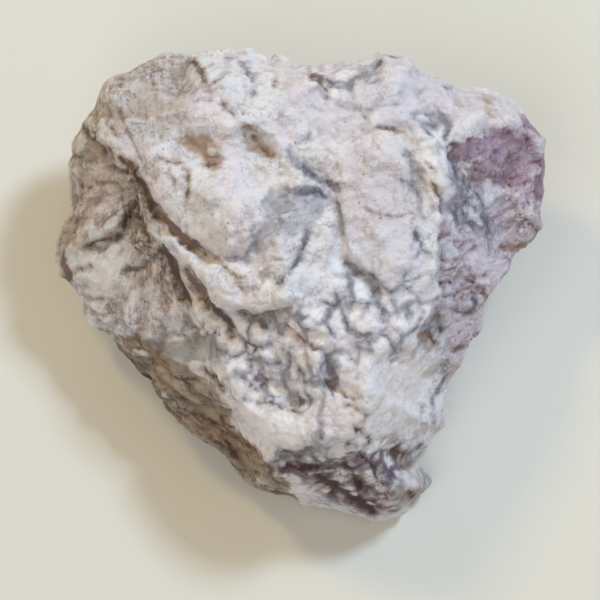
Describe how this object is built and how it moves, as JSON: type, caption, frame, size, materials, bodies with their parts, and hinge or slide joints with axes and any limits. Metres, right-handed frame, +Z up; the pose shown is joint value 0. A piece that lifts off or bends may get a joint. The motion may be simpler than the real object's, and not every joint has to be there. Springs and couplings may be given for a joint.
{
  "type": "howlite rock",
  "caption": "Rough lump of white howlite with grey veins, a knobbly sloping face, broken flanks and a small flat spot underneath to rest on.",
  "frame": {"origin": "middle of the bounding box in plan, at the level of the flat spot it rests on", "axes": "+Z up from the rest, out of the broad knobbly face; +Y toward the broad back edge, so the narrow tip is at -Y; +X to the right of the face, toward the corner block"},
  "size_m": [0.0568, 0.0524, 0.0267],
  "materials": {
    "howlite": "matt chalky white stone with fine grey veins, brown staining in the hollows and mauve-grey broken faces"
  },
  "bodies": {
    "root": {"howlite": "howlite"}
  },
  "joints": []
}
